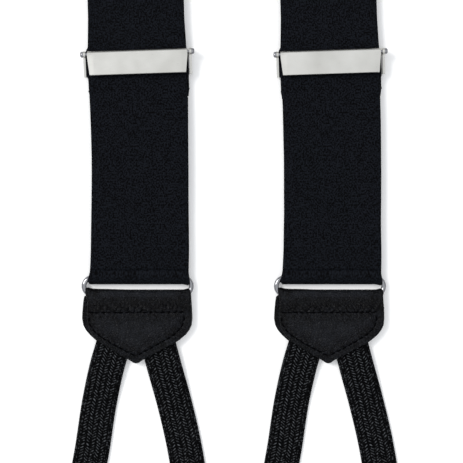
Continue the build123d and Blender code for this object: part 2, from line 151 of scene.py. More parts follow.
ring_at = {
    side: middle(f"{side}_ring") - Vector((RING_SHIFT * MM, 0, 0))
    for side in ("left", "right")
}
at_ring = {side: Place(p.x, p.y) for side, p in ring_at.items()}
pin_at = {side: middle(f"{side}_adjuster_pin") for side in ("left", "right")}
at_pin = {side: Place(p.x, p.y, LEAN) for side, p in pin_at.items()}
back_at = middle("back_ring")
at_back = Place(back_at.x, back_at.y, math.pi)
patch_at = middle("patch_top")
at_patch = Place(patch_at.x, patch_at.y)


# ---------------------------------------------------------------- materials
def linear(red, green, blue):
    """A screen colour, 0 to 255, as linear light."""
    out = []
    for value in (red, green, blue):
        value /= 255
        out.append(value / 12.92 if value < 0.04045 else ((value + 0.055) / 1.055) ** 2.4)
    return (*out, 1.0)


class Graph:
    """Short names for building a material's nodes."""

    def __init__(self, name, colour, rough, metal=0.0, spec=0.5):
        self.material = bpy.data.materials.new(name)
        self.material.use_nodes = True
        self.nodes = self.material.node_tree.nodes
        self.links = self.material.node_tree.links
        self.shader = self.nodes["Principled BSDF"]
        self.shader.inputs["Base Color"].default_value = colour
        self.shader.inputs["Roughness"].default_value = rough
        self.shader.inputs["Metallic"].default_value = metal
        self.shader.inputs["Specular IOR Level"].default_value = spec
        self.material.diffuse_color = colour

    def set(self, **inputs):
        """Constants on the shader's own sockets."""
        for name, value in inputs.items():
            self.shader.inputs[name.replace("_", " ")].default_value = value

    def node(self, kind, **settings):
        """A new node. Each setting is one of its properties or one of its inputs."""
        node = self.nodes.new(kind)
        for name, value in settings.items():
            if hasattr(node, name):
                setattr(node, name, value)
            else:
                node.inputs[name.replace("_", " ")].default_value = value
        return node

    def lay(self, scale=(1, 1, 1)):
        """The surface's own coordinates, across and along it in metres, scaled."""
        lay = self.node("ShaderNodeAttribute", attribute_name="lay")
        out = self.node("ShaderNodeMapping")
        out.inputs["Scale"].default_value = scale
        self.links.new(lay.outputs["Vector"], out.inputs["Vector"])
        return out.outputs["Vector"]

    def place(self, scale=(1, 1, 1)):
        """Object coordinates, for pieces with none of their own."""
        at = self.node("ShaderNodeTexCoord")
        out = self.node("ShaderNodeMapping")
        out.inputs["Scale"].default_value = scale
        self.links.new(at.outputs["Object"], out.inputs["Vector"])
        return out.outputs["Vector"]

    def noise(self, vector, size, detail=2.0):
        """Soft noise whose blobs are about size metres across."""
        out = self.node("ShaderNodeTexNoise", Scale=1 / size, Detail=detail)
        self.links.new(vector, out.inputs["Vector"])
        return out.outputs["Fac"]

    def wave(self, vector, pitch, direction, twist=0.0):
        """Even ribs, pitch metres apart."""
        out = self.node("ShaderNodeTexWave", bands_direction=direction)
        out.inputs["Scale"].default_value = 2 * math.pi / (20 * pitch)
        out.inputs["Distortion"].default_value = twist
        self.links.new(vector, out.inputs["Vector"])
        return out.outputs["Fac"]

    def mix(self, factor, first, second):
        """A colour between first and second."""
        out = self.node("ShaderNodeMix", data_type="RGBA")
        self.links.new(factor, out.inputs[0])
        out.inputs[6].default_value = first
        out.inputs[7].default_value = second
        return out.outputs[2]

    def ramp(self, factor, low, high, first=0.0, second=1.0):
        """From first to second as factor goes from low to high."""
        out = self.node("ShaderNodeMapRange")
        self.links.new(factor, out.inputs["Value"])
        for name, value in zip(
            ("From Min", "From Max", "To Min", "To Max"), (low, high, first, second)
        ):
            out.inputs[name].default_value = value
        return out.outputs["Result"]

    def sum(self, first, second, weight=1.0):
        """first + weight * second."""
        out = self.node("ShaderNodeMath", operation="MULTIPLY_ADD")
        self.links.new(second, out.inputs[0])
        out.inputs[1].default_value = weight
        self.links.new(first, out.inputs[2])
        return out.outputs[0]

    def bump(self, height, distance, strength=1.0):
        """Raises the surface by height, 0 to 1, times distance metres."""
        out = self.node("ShaderNodeBump", Distance=distance, Strength=strength)
        self.links.new(height, out.inputs["Height"])
        self.links.new(out.outputs["Normal"], self.shader.inputs["Normal"])

    def link(self, value, name):
        """Feeds one of the shader's sockets."""
        self.links.new(value, self.shader.inputs[name])


def make_webbing():
    g = Graph("webbing", linear(10, 11, 14), 0.62, spec=0.04)
    at = g.lay()
    fleck = g.noise(g.lay((1, 0.8, 1)), 0.00055, 2)
    patch = g.noise(at, 0.003, 1)
    tone = g.ramp(g.sum(fleck, patch, 0.15), 0.48, 0.67)
    g.link(g.mix(tone, linear(0, 0, 1), linear(20, 23, 29)), "Base Color")
    ribs = g.sum(g.wave(at, 0.00045, "X"), g.wave(at, 0.0006, "Y", 1.0), 0.8)
    g.bump(g.sum(ribs, fleck, 1.2), 0.00009, 0.8)
    g.set(Sheen_Weight=0.01, Sheen_Roughness=0.5)
    return g.material


def make_leather():
    g = Graph("leather", linear(14, 15, 18), 0.4, spec=0.1)
    at = g.lay()
    parts = g.node("ShaderNodeSeparateXYZ")
    g.links.new(at, parts.inputs[0])
    # The third lay value carries painted light and shade. Painted highlights sit on the fold's
    # ridge and the pillowed middle. Painted shade sits under the fold and along its top edge, and a
    # darker band runs along the rims.
    painted_shading = g.ramp(parts.outputs[2], 0.0, 0.001)
    cells = g.node("ShaderNodeTexVoronoi", feature="DISTANCE_TO_EDGE", Scale=1 / 0.0009)
    g.links.new(at, cells.inputs["Vector"])
    grain = g.ramp(cells.outputs["Distance"], 0.02, 0.3)
    fleck = g.ramp(g.noise(at, 0.0006, 3), 0.4, 0.66, -0.5, 0.5)
    cloud = g.ramp(g.noise(at, 0.004, 2), 0.35, 0.7, 0.0, 0.3)
    tone = g.sum(g.sum(cloud, painted_shading, 0.65), fleck, 0.7)
    g.link(g.mix(tone, linear(0, 0, 1), linear(26, 28, 33)), "Base Color")
    g.bump(g.sum(grain, g.noise(at, 0.0004, 2), 0.8), 0.00016, 1.0)
    g.link(g.ramp(g.noise(at, 0.003, 2), 0.3, 0.7, 0.3, 0.5), "Roughness")
    return g.material


def make_braid():
    g = Graph("braid", linear(20, 22, 24), 0.55, spec=0.035)
    at = g.lay()
    # The third lay value is the strands' relief. It drives the colour, so the crests carry a
    # painted highlight and the hollows painted shade.
    rise = g.node("ShaderNodeSeparateXYZ")
    g.links.new(at, rise.inputs[0])
    fleck = g.ramp(g.noise(at, 0.0008, 2), 0.35, 0.65, -0.3, 0.3)
    tone = g.ramp(g.sum(rise.outputs[2], fleck, 0.001), 0.0006, 0.0012)
    g.link(g.mix(tone, linear(0, 0, 1), linear(88, 91, 95)), "Base Color")
    g.bump(g.noise(g.lay((1, 3, 1)), 0.0003, 2), 0.00005, 0.7)
    g.set(Sheen_Weight=0.01, Sheen_Roughness=0.5)
    return g.material


def make_thread():
    g = Graph("thread", linear(2, 2, 3), 0.7, spec=0.02)
    g.bump(g.wave(g.place((1, 0.6, 1)), 0.0003, "DIAGONAL"), 0.00004, 0.7)
    return g.material


def make_silver():
    g = Graph("silver", (0.6, 0.59, 0.56, 1), 0.3, metal=1.0)
    brush = g.noise(g.place((0.06, 1, 1)), 0.00012, 3)
    cloud = g.ramp(g.noise(g.place(), 0.012, 2), 0.35, 0.68)
    g.link(g.mix(cloud, (0.56, 0.553, 0.52, 1), (0.66, 0.652, 0.62, 1)), "Base Color")
    g.link(g.ramp(brush, 0.3, 0.7, 0.27, 0.36), "Roughness")
    g.bump(g.sum(brush, g.noise(g.place(), 0.008, 1), 3.0), 0.000004, 0.5)
    return g.material


def make_wire():
    # The base colour is kept darker than nickel. It is painted shade standing in for the dark
    # reflections along the ring's bends.
    g = Graph("wire", (0.3, 0.3, 0.315, 1), 0.07, metal=1.0)
    g.bump(g.noise(g.place(), 0.002, 1), 0.000008, 0.4)
    return g.material


MATERIALS = {
    "webbing": make_webbing(),
    "leather": make_leather(),
    "braid": make_braid(),
    "thread": make_thread(),
    "silver": make_silver(),
    "wire": make_wire(),
}


# ---------------------------------------------------------------- meshes
def solid(name, points, faces, kind, lay=None):
    """A mesh piece from points in metres."""
    mesh = bpy.data.meshes.new(name)
    mesh.from_pydata(np.asarray(points).reshape(-1, 3).tolist(), [], faces)
    mesh.polygons.foreach_set("use_smooth", [True] * len(mesh.polygons))
    if lay is not None:
        store = mesh.attributes.new("lay", "FLOAT_VECTOR", "POINT")
        store.data.foreach_set("vector", np.asarray(lay, np.float32).ravel())
    mesh.materials.append(MATERIALS[kind])
    mesh.update()
    piece = bpy.data.objects.new(name, mesh)
    bpy.context.collection.objects.link(piece)
    return piece


def tube_faces(rings, around):
    """Quads between closed rings of points, and quads across the two open ends."""
    faces = []
    for i in range(rings - 1):
        for k in range(around):
            n = (k + 1) % around
            faces.append(
                (i * around + k, i * around + n, (i + 1) * around + n, (i + 1) * around + k)
            )
    half = around // 2
    last = (rings - 1) * around
    for k in range(half - 1):
        faces.append((k + 1, k, around - 1 - k, around - 2 - k))
        faces.append((last + k, last + k + 1, last + around - 2 - k, last + around - 1 - k))
    return faces


def web_section(half):
    """Across a webbing: places from edge to edge, and each one's share of the half-thickness.
    The edges are round, and a shallow groove sets off the woven selvage."""
    insets = np.array([0.0, 0.1, 0.3, 0.7, 1.4, 1.9, 2.15, 2.4, 3.0, 4.5])
    rise = np.array([0.35, 0.72, 0.93, 1.0, 1.0, 0.97, 0.86, 0.97, 1.0, 1.0])
    inner = np.linspace(4.5 - half, half - 4.5, 15)[1:-1]
    across = np.concatenate([insets - half, inner, (half - insets)[::-1]])
    share = np.concatenate([rise, np.ones(len(inner)), rise[::-1]])
    return across / half, share


def web_outline():
    """Round a webbing's section: places from -1 to 1 across it, and heights from its middle."""
    t, share = web_section(19.0)
    lift = np.concatenate([share, -share[::-1]]) * WEB_T / 2
    return np.concatenate([t, t[::-1]]), lift


def sweep_web(line, across, up, half):
    """Points of a strip that follows a centre line. Arrays have one row for each station."""
    t, lift = web_outline()
    points = (
        line[:, None, :]
        + across[:, None, :] * (half[:, None] * t)[..., None]
        + up[:, None, :] * lift[None, :, None]
    )
    run = np.concatenate([[0], np.cumsum(np.linalg.norm(np.diff(line, axis=0), axis=1))])
    lay = np.empty_like(points)
    lay[..., 0] = half[:, None] * t
    lay[..., 1] = run[:, None]
    lay[..., 2] = lift
    return points, lay * MM


def strip(name, place, points, lay):
    """A closed strip. Its two ends are flat, so that strips that meet end to end look like one."""
    rings, around = points.shape[:2]
    faces = tube_faces(rings, around)
    piece = solid(name, place(points), faces, "webbing", lay.reshape(-1, 3))
    ends = (rings - 1) * around
    piece.data.polygons.foreach_set("use_smooth", [i < ends for i in range(len(faces))])
    return piece


def flat_strip(name, place, x, y, height, half):
    """A strip along y at one height, whose middle is at x(y)."""
    line = np.stack([x, y, height + 0 * y], axis=1)
    across = np.tile([1.0, 0.0, 0.0], (len(y), 1))
    up = np.cross(across, directions(line))
    up /= np.linalg.norm(up, axis=1)[:, None]
    return strip(name, place, *sweep_web(line, across, up, half))


# ---------------------------------------------------------------- webbing
# The front run's middle and half-width, by the place up from the ring's centre.
RUN_LINE = [
    (0, 0.55), (6, 0.95), (25, 1.15), (45, 1.3), (62, 1.05), (81, 0.4), (100, -0.1), (200, -3.5),
]
RUN_HALF = [
    (0, 19.9), (2, 19.75), (5.5, 19.1), (25, 18.8), (50, 18.75), (80.0, 19.05), (81.6, 19.9),
    (91.0, 19.9), (92.4, 19.1), (104, 18.65), (200, 18.7),
]
REAR_LINE = [(0, 0.6), (6, 0.95), (40, 1.2), (74, 0.85)]
TURN_IN_Y = 1.65  # the webbing's turn is a little slack round the bar
TURN_IN_Z = 1.06


def bar_line(x, shift=RING_SHIFT, most=19.9):
    """How far a long bar's axis lies from the ring's centre, where the wire curves away too."""
    past = np.clip(np.abs(x - shift), BAR_HALF, most) - BAR_HALF
    return np.sqrt(np.maximum(BAR_Y**2 - past**2, 0))


def front_run(side):
    """From the ring's turn up through the adjuster to the shoulder strap."""
    y = np.arange(TURN_END, RUN_TOP + 0.5, 1.0)
    y = np.append(y[y < RUN_TOP - 0.2], RUN_TOP)
    piece = flat_strip(
        f"{side}_front_run_web", at_ring[side], curve(RUN_LINE, y), y,
        UPPER_MID, straight(RUN_HALF, y),
    )
    top = at_ring[side](np.array([-3.5, RUN_TOP, UPPER_MID]))
    foot = at_ring[side](np.array([0.5, TURN_END, UPPER_MID]))
    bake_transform(piece)
    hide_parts(f"{side}_front_run")


def webbing_turn(side):
    """Over the ring's upper bar and back underneath, with its edges eased over the ring's bends."""
    stub = [TURN_END, 5.2, 4.2]
    narrow = 18.75
    step = 0.5
    stations = [(y, 90.0) for y in stub] + [(BAR_Y, a) for a in np.linspace(90, -90, 25)]
    stations += [(y, -90.0) for y in stub[::-1]]
    t, lift = web_outline()
    points = np.empty((len(stations), len(t), 3))
    lay = np.empty_like(points)
    for i, (y, angle) in enumerate(stations):
        a = math.radians(angle)
        level = abs(math.sin(a))
        if y == BAR_Y:
            wide = narrow + (float(straight(RUN_HALF, 1.5)) - narrow) * level
            x = float(curve(RUN_LINE, y - 1.2 * (1 - level))) + t * wide
            centre = bar_line(x)
        else:
            wide = float(straight(RUN_HALF, y))
            x = float(curve(RUN_LINE, y)) + t * wide
            centre = np.full_like(x, y)
        out_y = TURN_IN_Y + WEB_T / 2 + lift
        out_z = TURN_IN_Z + WEB_T / 2 + lift
        points[i, :, 0] = x
        points[i, :, 1] = centre - out_y * math.cos(a)
        points[i, :, 2] = RING_Z + out_z * math.sin(a)
        lay[i, :, 0] = t * wide
        lay[i, :, 1] = -step * (i + 1)
        lay[i, :, 2] = lift
    piece = strip(f"{side}_webbing_turn_web", at_ring[side], points, lay * MM)
    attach(piece, f"{side}_turn")
    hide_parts(f"{side}_webbing_turn")


def rear_run(side):
    """From the ring's turn back up, behind the front run, to the sewn end."""
    y = np.append(np.arange(TURN_END, REAR_TOP - 0.4, 1.5), REAR_TOP)
    piece = flat_strip(
        f"{side}_rear_run_web", at_ring[side], curve(REAR_LINE, y), y,
        LOWER_MID, straight(RUN_HALF, y),
    )
    foot = at_ring[side](np.array([0.5, TURN_END, LOWER_MID]))
    top = at_ring[side](np.array([0.8, REAR_TOP, LOWER_MID]))
    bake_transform(piece)
    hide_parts(f"{side}_rear_run")


def sewn_end(side):
    """Round the frame's lower bar from behind, and lapped down on itself."""
    wrap_y, wrap_z, radius = -6.15, 1.5, 1.0
    path = [(-17.0, 0.5), (-14.5, 0.5), (-12, 0.5), (-9, 0.5), (wrap_y, 0.5)]
    for a in np.linspace(-75, 75, 11):
        a = math.radians(a)
        path.append((wrap_y + radius * math.cos(a), wrap_z + radius * math.sin(a)))
    path += [(wrap_y, 2.5), (-7.6, 2.5), (-9.0, 2.46), (-9.9, 2.15), (-10.7, 1.72)]
    path += [(-11.6, 1.56), (-12.2, 1.5), (-12.9, 1.56), (-13.6, 1.56), (-14.2, 1.58)]
    path = np.array(path)
    ahead = directions(path)
    line = np.column_stack([np.zeros(len(path)), path])
    across = np.tile([1.0, 0, 0], (len(path), 1))
    up = np.column_stack([np.zeros(len(path)), -ahead[:, 1], ahead[:, 0]])
    half = straight([(-17, 19.1), (-14.6, 19.5), (-6, 19.5)], path[:, 0])
    half[-1] = 19.75
    piece = strip(f"{side}_sewn_end_web", at_pin[side], *sweep_web(line, across, up, half))
    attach(piece, f"{side}_adjuster")
    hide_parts(f"{side}_sewn_end")


def shoulder_strap(side):
    """From the front run up over the shoulder and into the back patch."""
    sign = -1 if side == "left" else 1
    p = ring_at[side]
    off = (patch_at.x - p.x) / MM
    y = np.append(np.arange(RUN_TOP, 627.0, 2.5), 628.0)
    knots = [
        (100, -0.1), (200, -3.5), (290, -6.5), (375, (off + sign * 40 - 6.5) / 2),
        (435, off + sign * 39.2), (475, off + sign * 37.8), (530, off + sign * 31.5),
        (615, off + sign * 20.5), (628, off + sign * 18.8),
    ]
    x = curve(knots, y)
    z = UPPER_MID + (LOWER_MID - UPPER_MID) * smooth(y, 300, 358)
    z = z + (PATCH_MID - LOWER_MID) * smooth(y, 588, 602)
    half = 18.7 + 0.3 * smooth(y, 220, 300)
    line = np.stack([x, y, z], axis=1)
    ahead = directions(line)
    flat = ahead * [1, 1, 0]
    flat /= np.linalg.norm(flat, axis=1)[:, None]
    square = np.stack([flat[:, 1], -flat[:, 0], 0 * x], axis=1)
    share = smooth(y, RUN_TOP, 270)[:, None]
    across = share * square + (1 - share) * [1.0, 0, 0]
    points, lay = sweep_web(line, across, np.cross(across, ahead), half)
    inner = off + sign * 0.15
    inward = np.maximum if sign > 0 else np.minimum
    points[..., 0] = inward(points[..., 0], inner)
    piece = strip(f"{side}_strap_web", at_ring[side], points, lay)
    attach(piece, "harness")
    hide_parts(f"{side}_strap")


def back_strap_web():
    """The back strap: out of the patch, round the ring's bar and lapped back under itself."""
    y = np.concatenate([np.arange(149.0, 12.0, -2.0), np.arange(12.0, BAR_Y + 0.4, -0.8)])
    z = PATCH_MID + 2.0 * (1 - smooth(y, 9.5, 23))
    path = list(zip(y, z))
    for angle in np.linspace(90, -90, 21):
        a = math.radians(angle)
        path.append((BAR_Y - 1.6 * math.cos(a), RING_Z + 1.55 * math.sin(a)))
    path += [(a, LOWER_MID) for a in np.arange(BAR_Y + 1.0, 36.2, 1.5)]
    path = np.array(path)
    ahead = directions(path)
    line = np.column_stack([np.zeros(len(path)), path])
    across = np.tile([1.0, 0, 0], (len(path), 1))
    up = np.column_stack([np.zeros(len(path)), ahead[:, 1], -ahead[:, 0]])
    near = np.exp(-(((path[:, 0] - BAR_Y + 1.0) / 3.0) ** 2))
    wrap = np.exp(-(((path[:, 1] - RING_Z) / 1.1) ** 2)) * (path[:, 0] < BAR_Y + 0.2)
    half = 18.9 + 0.5 * near - 0.9 * wrap
    points, lay = sweep_web(line, across, up, half)
    bent = np.abs(points[..., 0]) > BAR_HALF
    shift = (bar_line(points[..., 0], 0.0) - BAR_Y) * (path[:, 0] < BAR_Y + 0.2)[:, None]
    points[..., 1] += np.where(bent, shift, 0)
    piece = strip("back_strap_web", at_back, points, lay)
    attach(piece, "harness")
    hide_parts("back_strap")


# ---------------------------------------------------------------- leather
def grid_leather(name, place, x, y, z, lay):
    """A leather whose middle surface is a grid of points, given a thickness, soft edges and all."""
    rows, cols = x.shape
    mid = np.stack([x, y, z], axis=-1)
    along = np.gradient(mid, axis=0)
    across = np.gradient(mid, axis=1)
    normal = np.cross(across, along)
    normal /= np.maximum(np.linalg.norm(normal, axis=-1), 1e-9)[..., None]
    near = np.ones((rows, cols))
    for k, value in enumerate((0.45, 0.8, 0.96)):
        near[:, k] = np.minimum(near[:, k], value)
        near[:, -1 - k] = np.minimum(near[:, -1 - k], value)
        near[k] = np.minimum(near[k], value)
        near[-1 - k] = np.minimum(near[-1 - k], value)
    over = mid + normal * (near * LEATHER_T / 2)[..., None]
    under = mid - normal * (near * LEATHER_T / 2)[..., None]
    points = np.concatenate([over.reshape(-1, 3), under.reshape(-1, 3)])
    n = rows * cols
    faces = []
    for i in range(rows - 1):
        for k in range(cols - 1):
            a = i * cols + k
            faces.append((a, a + 1, a + cols + 1, a + cols))
            faces.append((n + a, n + a + cols, n + a + cols + 1, n + a + 1))
    rim = list(range(cols))
    rim += [i * cols + cols - 1 for i in range(1, rows)]
    rim += [(rows - 1) * cols + k for k in range(cols - 2, -1, -1)]
    rim += [i * cols for i in range(rows - 2, 0, -1)]
    for a, b in zip(rim, rim[1:] + rim[:1]):
        faces.append((b, a, n + a, n + b))
    lay = np.concatenate([lay.reshape(-1, 3), lay.reshape(-1, 3)])
    return solid(name, place(points), faces, "leather", lay * MM)


def edge_share(count, width):
    """Places from 0 to 1 across a width, closer together near both edges."""
    near = np.array([0.0, 0.12, 0.35, 0.8, 1.5]) / width
    inner = np.linspace(near[-1], 1 - near[-1], count)[1:-1]
    return np.concatenate([near, inner, 1 - near[::-1]])


# How far a flap reaches to each side of the middle, by the place down from the ring's centre. The
# front flap is narrower than the back one on its left.
FLAP_RIGHT = [
    (-1.2, 18.4), (-2.2, 20.6), (-3.4, 21.0), (-6.0, 21.15), (-9.3, 21.4), (-12.5, 21.5),
    (-15.2, 21.2), (-17.1, 20.3), (-19.0, 18.8), (-21.0, 16.4), (-22.6, 13.9), (-28.9, 1.9),
    (-29.7, 0.9), (-30.0, 0.02),
]
FLAP_LEFT = [
    (-1.2, 18.4), (-3.2, 19.4), (-4.1, 20.6), (-6.0, 20.9), (-9.3, 21.2), (-12.5, 21.4),
    (-15.2, 20.9), (-17.1, 19.9), (-19.0, 18.3), (-21.0, 16.1), (-22.6, 13.8), (-28.9, 2.6),
    (-29.7, 1.5), (-30.0, 0.6),
]
FRONT_LEFT = [
    (-1.2, 18.4), (-2.2, 19.9), (-3.4, 19.7), (-6.0, 19.1), (-9.3, 19.2), (-12.5, 19.3),
    (-15.2, 19.0), (-17.1, 18.3), (-19.0, 17.1), (-21.0, 15.4), (-22.6, 13.3), (-28.9, 2.6),
    (-29.7, 1.5), (-30.0, 0.6),
]
# The middle of each braided tab: (y, x).
LEFT_LEG = [
    (-8, -6.4), (-14, -7.4), (-22, -9.0), (-30, -11.3), (-45, -14.6), (-62, -17.2), (-80, -20.2),
    (-96, -21.3), (-109, -TAB_X),
]
RIGHT_LEG = [
    (-8, 5.2), (-14, 6.3), (-22, 8.2), (-30, 10.3), (-45, 14.4), (-62, 18.3), (-80, 21.0),
    (-96, 21.5), (-109, TAB_X),
]
ACROSS_Y = -10.1
ACROSS_SEAM = [(-18.9, ACROSS_Y - 0.1), (18.3, ACROSS_Y + 0.1)]
SIDE_SEAMS = [
    [(-18.5, -11.6), (-18.4, -14.2), (-17.2, -16.6), (-14.4, -19.3), (-9.0, -22.6), (-0.6, -26.9)],
    [(0.4, -26.7), (8.6, -22.2), (14.6, -18.8), (17.2, -16.0), (18.2, -13.4), (18.4, -11.4)],
]


def seam_distance(x, y):
    """Distance in millimetres from a leather end's seams."""
    return distance_from([ACROSS_SEAM, *SIDE_SEAMS], x, y)


def leg_distance(x, y):
    """Distance from the nearer tab's middle."""
    a = np.abs(x - downward(LEFT_LEG, y))
    b = np.abs(x - downward(RIGHT_LEG, y))
    return np.minimum(a, b) * 0.96


def front_height(x, y, seed):
    """Mid-height of the front flap: proud over the tabs, sewn down at its sides, and puckered
    above the seam that runs across it."""
    fold = 1 - smooth(-y, 4.5, 12.0)
    tabs = 1 - smooth(np.abs(x + 0.2), 14.5, 19.5)
    tip = smooth(-y, 25.5, 29.0) * (1 - smooth(leg_distance(x, y), 6.0, 8.5))
    tip = np.maximum(tip, 1 - smooth(-y, 25.5, 29.0))
    support = np.maximum(fold, tabs * tip)
    z = 3.1 + 0.55 * support
    inside = smooth(seam_distance(x, y), 0.4, 5.0)
    z = z + 0.22 * inside * (y < ACROSS_Y) * (y > -27)
    z = z - 0.34 * np.exp(-((seam_distance(x, y) / 0.5) ** 2))
    r = np.random.default_rng(seed)
    pucker = np.zeros_like(x)
    for pitch in (1.5, 2.25, 3.1):
        phase = r.uniform(0, 6.28)
        lean = r.uniform(-0.9, 0.9)
        wander = 1.6 * np.sin(x / 2.1 + phase) + 0.9 * np.sin(y / 0.9 + phase)
        pucker += np.sin(2 * math.pi * (x + lean * y) / pitch + phase + wander)
    reach = smooth(-y, 5.2, 8.2) * (1 - smooth(-y, 9.6, 10.4))
    below = 0.4 * smooth(-y, 10.0, 10.6) * (1 - smooth(-y, 11.0, 13.5))
    z = z + 0.1 * pucker * (reach + below)
    for _ in range(7):
        cx, cy = r.uniform(-16, 16), r.uniform(-24, -3)
        width, turn = r.uniform(1.8, 4.5), r.uniform(0, 3.14)
        u = (x - cx) * math.cos(turn) + (y - cy) * math.sin(turn)
        v = -(x - cx) * math.sin(turn) + (y - cy) * math.cos(turn)
        z = z + r.uniform(-0.05, 0.05) * np.exp(-((u / 5) ** 2) - (v / width) ** 2)
    return z


def kip(name, node, place, body, shift, seed):
    """Leather folded over the ring's lower bar: back flap, fold and front flap."""
    down = np.concatenate([
        np.arange(-3.6, -11.4, -0.25), np.arange(-11.5, -22.4, -0.4),
        np.arange(-22.6, -29.2, -0.4), [-29.4, -29.6, -29.75, -29.88, -30.0],
    ])
    angles = np.linspace(-90, 90, 29)
    share = edge_share(130, 40.0)
    fold_out, fold_up = 1.82, 1.56
    rows = []
    for y in down[::-1]:
        low, high = -downward(FLAP_LEFT, y), downward(FLAP_RIGHT, y)
        x = low + (high - low) * share
        rows.append((x, np.full_like(x, y), np.full_like(x, LOWER_MID)))
    for angle in angles:
        a = math.radians(angle)
        level = abs(math.sin(a)) ** 0.8
        right = 19.1 + (21.0 - 19.1) * level
        left = 18.7 + ((20.0 if angle > 0 else 19.4) - 18.7) * level
        x = -left + (left + right) * share
        slack = 0.25 * (1 - smooth(x, -20, -14)) - 0.25 * smooth(x, -14, -3)
        y = slack - bar_line(x, shift, 19.6) + fold_out * math.cos(a)
        rows.append((x, y, np.full_like(x, RING_Z + fold_up * math.sin(a))))
    for y in down:
        low, high = -downward(FRONT_LEFT, y), downward(FLAP_RIGHT, y) - 0.25
        x = low + np.maximum(high - low, 0.02) * share
        front_y = np.full_like(x, y) * 0.995
        rows.append((x, front_y, front_height(x, front_y, seed)))
    x, y, z = (np.array(values) for values in zip(*rows))
    steps = np.hypot(np.diff(y, axis=0), np.diff(z, axis=0)).mean(axis=1)
    run = np.concatenate([[0], np.cumsum(steps)])
    on_front = np.cumsum(np.ones_like(x), axis=0) > len(down) + len(angles)
    # Painted light and shade for the leather's colour. The pillowed middle is painted lighter and
    # the fold's ridge carries a painted highlight. The hollow below the fold and the fold's top
    # edge get painted shade, and the back flap gets one even value.
    pillow = smooth(seam_distance(x, y), 0.8, 6.0) * (y < ACROSS_Y)
    ridge = np.exp(-((y + 3.0) ** 2)) * smooth(17 - np.abs(x), 0, 6)
    hollow = np.exp(-(((y + 7.2) / 1.8) ** 2))
    painted_shading = 0.3 + 0.5 * pillow + 1.05 * ridge - 1.2 * smooth(y, -2.3, -1.6)
    painted_shading = np.where(on_front | (y > -4.2), painted_shading - 0.35 * hollow, 0.4)
    # A darker band is painted along the rims.
    rim = 1 - np.minimum(smooth(share, 0.0, 0.025), smooth(1 - share, 0.0, 0.025))
    painted_shading = np.clip(painted_shading - 0.5 * rim[None, :], 0, 1.2)
    lay = np.stack([x, np.broadcast_to(run[:, None], x.shape), painted_shading], axis=-1)
    piece = grid_leather(name, place, x, y, z, lay)
    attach(piece, body)
    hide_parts(node)


# ---------------------------------------------------------------- thread
def capsules(name, place, ends, radius):
    """Short lengths of thread, each from one point to another, round at both ends."""
    points, faces, lay = [], [], []
    shares = [
        (-1.0, 0.05), (-0.97, 0.5), (-0.86, 0.85), (-0.6, 1.0), (0, 1.06),
        (0.6, 1.0), (0.86, 0.85), (0.97, 0.5), (1.0, 0.05),
    ]
    around = 8
    flat = 0.8
    for start, end in ends:
        start, end = np.array(start, float), np.array(end, float)
        mid, reach = (start + end) / 2, (end - start) / 2
        ahead = reach / np.linalg.norm(reach)
        side = np.cross(ahead, [0, 0, 1.0])
        side /= np.linalg.norm(side)
        up = np.cross(side, ahead)
        base = len(points)
        for along, thick in shares:
            for k in range(around):
                a = 2 * math.pi * k / around
                out, rise = thick * math.cos(a), flat * thick * math.sin(a)
                points.append(mid + reach * along + side * (radius * out) + up * (radius * rise))
                lay.append((radius * math.cos(a), along, 0))
        for i in range(len(shares) - 1):
            for k in range(around):
                n = (k + 1) % around
                here, there = base + i * around, base + (i + 1) * around
                faces.append((here + n, here + k, there + k, there + n))
        faces.append(tuple(base + k for k in range(around)))
        last = base + (len(shares) - 1) * around
        faces.append(tuple(last + k for k in range(around - 1, -1, -1)))
    return solid(name, place(np.array(points)), faces, "thread", np.array(lay) * MM)


def stitch_ends(run, pitch, length, height, wobble=0.08):
    """Starts and ends of stitches spaced along a seam's polyline, at height(x, y)."""
    run = np.array(run, float)
    steps = np.hypot(*np.diff(run, axis=0).T)
    total = steps.sum()
    at = np.concatenate([[0], np.cumsum(steps)])
    count = max(1, round(total / pitch))
    out = []
    for k in range(count):
        middle_at = (k + 0.5) * total / count
        pair = []
        for end in (-0.5, 0.5):
            d = middle_at + end * length
            x = np.interp(d, at, run[:, 0]) + rng.uniform(-wobble, wobble)
            y = np.interp(d, at, run[:, 1]) + rng.uniform(-wobble, wobble)
            pair.append((x, y, float(height(np.array(x), np.array(y)))))
        out.append(tuple(pair))
    return out


def kip_stitches(prefix, place, body, seed):
    """The seam across a leather end, and the ones down its two sides."""

    def height(x, y):
        return front_height(x, y, seed) + OVER_LEATHER

    ends = stitch_ends(ACROSS_SEAM, 2.35, 1.45, height, 0.12)
    for run in SIDE_SEAMS:
        ends += stitch_ends(run, 2.45, 1.6, height, 0.12)
    piece = capsules(f"{prefix}_kip_thread", place, ends, 0.33)
    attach(piece, body)
    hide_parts(f"{prefix}_kip_stitching")


def row_stitches(name, node, place, runs, height, body):
    """Rows of stitches along some polylines."""
    ends = []
    for run in runs:
        ends += stitch_ends(run, 2.3, 1.6, height)
    piece = capsules(name, place, ends, 0.26)
    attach(piece, body)
    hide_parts(node)


